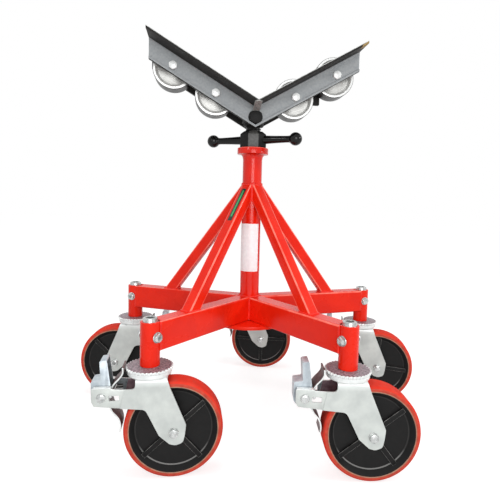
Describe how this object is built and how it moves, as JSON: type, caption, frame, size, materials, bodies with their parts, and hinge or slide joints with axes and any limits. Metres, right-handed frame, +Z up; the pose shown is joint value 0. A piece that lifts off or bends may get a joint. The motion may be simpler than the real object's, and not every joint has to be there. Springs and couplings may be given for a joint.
{
  "type": "pipe jack stand",
  "caption": "Rolling pipe jack stand: braced star base on locking swivel casters, jack screw with ball-handled nut, and a V head with rollers that cradles a pipe.",
  "frame": {"origin": "middle of the stand's outline in plan, on the floor under the casters", "axes": "+Z up, along the jack screw; -Y is the front, the side that the picture shows; +X is to the right of it, towards the higher-drawn right arm of the V as set"},
  "size_m": [0.9556, 0.7174, 0.9566],
  "materials": {
    "red_paint": "glossy orange-red enamel",
    "grey_paint": "satin dark blue-grey paint",
    "zinc_plate": "pale zinc plate",
    "cast_black": "black paint over casting",
    "wheel_black": "black paint over casting",
    "red_tread": "moulded red polyurethane",
    "roller_steel": "turned steel, bright at the rim",
    "bright_steel": "bright zinc-plated fasteners and turned screw"
  },
  "bodies": {
    "base": {"column": "red_paint", "collar": "red_paint", "base_plate": "red_paint", "leg_1": "red_paint", "leg_2": "red_paint", "leg_3": "red_paint", "leg_4": "red_paint", "leg_5": "red_paint", "brace_1": "red_paint", "brace_2": "red_paint", "brace_3": "red_paint", "brace_4": "red_paint", "brace_5": "red_paint", "caster_stem_1": "zinc_plate", "caster_stem_2": "zinc_plate", "caster_stem_3": "zinc_plate", "caster_stem_4": "zinc_plate", "caster_stem_5": "zinc_plate"},
    "caster_1": {"fork_1": "zinc_plate", "axle_1": "bright_steel"},
    "wheel_1": {"wheel_core_1": "wheel_black", "wheel_tread_1": "red_tread"},
    "pedal_1": {"brake_pedal_1": "zinc_plate"},
    "caster_2": {"fork_2": "zinc_plate", "axle_2": "bright_steel"},
    "wheel_2": {"wheel_core_2": "wheel_black", "wheel_tread_2": "red_tread"},
    "pedal_2": {"brake_pedal_2": "zinc_plate"},
    "caster_3": {"fork_3": "zinc_plate", "axle_3": "bright_steel"},
    "wheel_3": {"wheel_core_3": "wheel_black", "wheel_tread_3": "red_tread"},
    "pedal_3": {"brake_pedal_3": "zinc_plate"},
    "caster_4": {"fork_4": "zinc_plate", "axle_4": "bright_steel"},
    "wheel_4": {"wheel_core_4": "wheel_black", "wheel_tread_4": "red_tread"},
    "pedal_4": {"brake_pedal_4": "zinc_plate"},
    "caster_5": {"fork_5": "zinc_plate", "axle_5": "bright_steel"},
    "wheel_5": {"wheel_core_5": "wheel_black", "wheel_tread_5": "red_tread"},
    "pedal_5": {"brake_pedal_5": "zinc_plate"},
    "nut": {"jack_nut": "cast_black"},
    "screw": {"jack_screw": "bright_steel"},
    "head": {"v_frame_front": "grey_paint", "v_frame_rear": "grey_paint", "head_saddle": "cast_black", "head_bolt": "cast_black", "roller_bolt_1": "bright_steel", "roller_bolt_2": "bright_steel", "roller_bolt_3": "bright_steel", "roller_bolt_4": "bright_steel"},
    "roller_body_1": {"roller_1": "roller_steel"},
    "roller_body_2": {"roller_2": "roller_steel"},
    "roller_body_3": {"roller_3": "roller_steel"},
    "roller_body_4": {"roller_4": "roller_steel"}
  },
  "joints": [
    {"name": "swivel_1", "type": "hinge", "parent": "base", "child": "caster_1", "pos_m": [-0.00047, 0.31122, 0.218], "axis": [0, 0, 1], "continuous": true},
    {"name": "wheel_spin_1", "type": "hinge", "parent": "caster_1", "child": "wheel_1", "pos_m": [0.04928, 0.30625, 0.1], "axis": [0.0993, 0.9951, 0], "continuous": true},
    {"name": "pedal_press_1", "type": "hinge", "parent": "caster_1", "child": "pedal_1", "pos_m": [-0.09002, 0.32015, 0.176], "axis": [-0.0993, -0.9951, 0], "range_deg": [0, 20]},
    {"name": "swivel_2", "type": "hinge", "parent": "base", "child": "caster_2", "pos_m": [-0.32763, 0.07352, 0.218], "axis": [0, 0, 1], "continuous": true},
    {"name": "wheel_spin_2", "type": "hinge", "parent": "caster_2", "child": "wheel_2", "pos_m": [-0.37763, 0.07317, 0.1], "axis": [0.007, -1, 0], "continuous": true},
    {"name": "pedal_press_2", "type": "hinge", "parent": "caster_2", "child": "pedal_2", "pos_m": [-0.23764, 0.07415, 0.176], "axis": [-0.007, 1, 0], "range_deg": [0, 20]},
    {"name": "swivel_3", "type": "hinge", "parent": "base", "child": "caster_3", "pos_m": [-0.20267, -0.31109, 0.218], "axis": [0, 0, 1], "continuous": true},
    {"name": "wheel_spin_3", "type": "hinge", "parent": "caster_3", "child": "wheel_3", "pos_m": [-0.15308, -0.30465, 0.1], "axis": [-0.1288, 0.9917, 0], "continuous": true},
    {"name": "pedal_press_3", "type": "hinge", "parent": "caster_3", "child": "pedal_3", "pos_m": [-0.29192, -0.32268, 0.176], "axis": [0.1288, -0.9917, 0], "range_deg": [0, 20]},
    {"name": "swivel_4", "type": "hinge", "parent": "base", "child": "caster_4", "pos_m": [0.20173, -0.31109, 0.218], "axis": [0, 0, 1], "continuous": true},
    {"name": "wheel_spin_4", "type": "hinge", "parent": "caster_4", "child": "wheel_4", "pos_m": [0.25172, -0.3117, 0.1], "axis": [0.0122, 0.9999, 0], "continuous": true},
    {"name": "pedal_press_4", "type": "hinge", "parent": "caster_4", "child": "pedal_4", "pos_m": [0.11174, -0.30999, 0.176], "axis": [-0.0122, -0.9999, 0], "range_deg": [0, 20]},
    {"name": "swivel_5", "type": "hinge", "parent": "base", "child": "caster_5", "pos_m": [0.32669, 0.07352, 0.218], "axis": [0, 0, 1], "continuous": true},
    {"name": "wheel_spin_5", "type": "hinge", "parent": "caster_5", "child": "wheel_5", "pos_m": [0.37599, 0.06518, 0.1], "axis": [0.1668, 0.986, 0], "continuous": true},
    {"name": "pedal_press_5", "type": "hinge", "parent": "caster_5", "child": "pedal_5", "pos_m": [0.23795, 0.08853, 0.176], "axis": [-0.1668, -0.986, 0], "range_deg": [0, 20]},
    {"name": "nut_turn", "type": "hinge", "parent": "base", "child": "nut", "pos_m": [-0.00047, -0.03279, 0.724], "axis": [0, 0, -1], "range_deg": [0, 14400]},
    {"name": "jack_lift", "type": "slide", "parent": "base", "child": "screw", "axis": [0, 0, 1], "range_m": [0, 0.24]},
    {"name": "head_turn", "type": "hinge", "parent": "screw", "child": "head", "pos_m": [-0.00047, -0.03279, 0.78], "axis": [0, 0, 1], "continuous": true},
    {"name": "roller_spin_1", "type": "hinge", "parent": "head", "child": "roller_body_1", "pos_m": [-0.20338, -0.05304, 0.8885], "axis": [-0.0993, 0.9951, 0], "continuous": true},
    {"name": "roller_spin_2", "type": "hinge", "parent": "head", "child": "roller_body_2", "pos_m": [-0.09997, -0.04272, 0.8285], "axis": [-0.0993, 0.9951, 0], "continuous": true},
    {"name": "roller_spin_3", "type": "hinge", "parent": "head", "child": "roller_body_3", "pos_m": [0.09904, -0.02285, 0.8285], "axis": [-0.0993, 0.9951, 0], "continuous": true},
    {"name": "roller_spin_4", "type": "hinge", "parent": "head", "child": "roller_body_4", "pos_m": [0.20245, -0.01253, 0.8885], "axis": [-0.0993, 0.9951, 0], "continuous": true}
  ],
  "couplings": [
    {"joint": "jack_lift", "follows": "nut_turn", "m_per_rad": 0.00095492}
  ]
}
